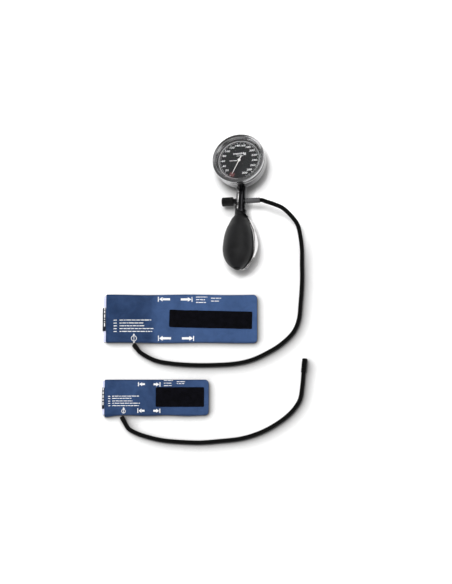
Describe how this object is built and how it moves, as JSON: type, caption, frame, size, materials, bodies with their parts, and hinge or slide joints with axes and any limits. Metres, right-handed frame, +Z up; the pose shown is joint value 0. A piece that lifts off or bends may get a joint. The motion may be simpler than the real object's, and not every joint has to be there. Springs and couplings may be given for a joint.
{
  "type": "blood pressure monitor",
  "caption": "Palm-held dial blood pressure gauge with squeeze bulb, release valve, palm spoon and hose to a wrap cuff, with a smaller spare cuff on its own hose.",
  "frame": {"origin": "centre of the set's footprint, on the surface it lies on, without the hoses", "axes": "+X along the cuffs towards their hook strips, +Y from the cuffs towards the gauge, +Z up"},
  "size_m": [0.268, 0.4128, 0.0477],
  "materials": {
    "chrome_plate": "polished",
    "window_glass": "clear",
    "seal_rubber": "satin",
    "satin_steel": "satin",
    "dial_black": "matte",
    "needle_white": "satin",
    "movement_brass": "satin",
    "knob_plastic": "knurled",
    "connector_plastic": "ribbed",
    "hose_rubber": "satin",
    "bulb_rubber": "satin",
    "cuff_fabric": "woven",
    "bladder_rubber": "matte",
    "hook_fabric": "hook tape",
    "tab_fabric": "woven tape"
  },
  "bodies": {
    "set_frame": {"gauge_housing": "chrome_plate", "bezel_ring": "chrome_plate", "gauge_window": "window_glass", "window_gasket": "seal_rubber", "dial_spacer_ring": "satin_steel", "dial_plate": "dial_black", "movement_base_plate": "movement_brass", "movement_bridge": "movement_brass", "pressure_capsule_lower": "movement_brass", "pressure_capsule_upper": "movement_brass", "hairspring": "satin_steel", "valve_seat_insert": "movement_brass", "valve_gland": "chrome_plate", "hose_nipple": "satin_steel", "hose_connector": "connector_plastic", "bulb_nozzle": "satin_steel", "check_valve_disc": "seal_rubber", "intake_valve_body": "satin_steel", "intake_valve_flap": "seal_rubber", "cuff_hose": "hose_rubber", "spare_cuff_hose": "hose_rubber", "spare_hose_connector": "knob_plastic", "cuff_front_panel": "cuff_fabric", "cuff_back_panel": "cuff_fabric", "cuff_bladder": "bladder_rubber", "cuff_hook_strip": "hook_fabric", "cuff_label_tab": "tab_fabric", "cuff_hose_port": "seal_rubber", "spare_cuff_front_panel": "cuff_fabric", "spare_cuff_back_panel": "cuff_fabric", "spare_cuff_bladder": "bladder_rubber", "spare_cuff_hook_strip": "hook_fabric", "spare_cuff_label_tab": "tab_fabric", "spare_cuff_hose_port": "seal_rubber"},
    "sector": {"sector_gear": "movement_brass"},
    "needle": {"needle": "needle_white", "pinion_arbor": "satin_steel"},
    "capsule": {"capsule_button": "satin_steel"},
    "valve_tip": {"valve_tip_seal": "seal_rubber"},
    "valve_screw": {"valve_spindle": "satin_steel", "valve_knob": "knob_plastic"},
    "spoon": {"palm_spoon": "chrome_plate"},
    "bulb": {"squeeze_bulb": "bulb_rubber"}
  },
  "joints": [
    {"name": "sector_swing", "type": "hinge", "parent": "set_frame", "child": "sector", "pos_m": [0.07321, 0.13882, 0.02146], "axis": [-0.2334, 0.1437, 0.9617], "range_deg": [0, 39.4], "stiffness_Nm_per_rad": 0.01},
    {"name": "needle_turn", "type": "hinge", "parent": "set_frame", "child": "needle", "pos_m": [0.07133, 0.15388, 0.0302], "axis": [0.2334, -0.1437, -0.9617], "range_deg": [0, 315.2], "deforming": ["hairspring"]},
    {"name": "capsule_lift", "type": "slide", "parent": "set_frame", "child": "capsule", "axis": [-0.2334, 0.1437, 0.9617], "range_m": [0, 0.0006]},
    {"name": "valve_travel", "type": "slide", "parent": "set_frame", "child": "valve_tip", "axis": [-0.971, 0.0173, -0.2383], "range_m": [0, 0.0012]},
    {"name": "valve_turn", "type": "hinge", "parent": "valve_tip", "child": "valve_screw", "pos_m": [0.06371, 0.10111, 0.01544], "axis": [-0.971, 0.0173, -0.2383], "range_deg": [0, 540]},
    {"name": "spoon_swivel", "type": "hinge", "parent": "set_frame", "child": "spoon", "pos_m": [0.07295, 0.09163, 0.01909], "axis": [0.0509, 0.9895, -0.1355], "range_deg": [-20, 100]},
    {"name": "bulb_squeeze", "type": "slide", "parent": "set_frame", "child": "bulb", "axis": [0.803, -0.1212, -0.5835], "range_m": [0, 0.005], "stiffness_N_per_m": 2000, "deforming": ["squeeze_bulb"]}
  ],
  "couplings": [
    {"joint": "needle_turn", "follows": "sector_swing", "ratio": 8},
    {"joint": "capsule_lift", "follows": "sector_swing", "m_per_rad": 0.00087},
    {"joint": "valve_turn", "follows": "valve_travel", "rad_per_m": 7854}
  ]
}
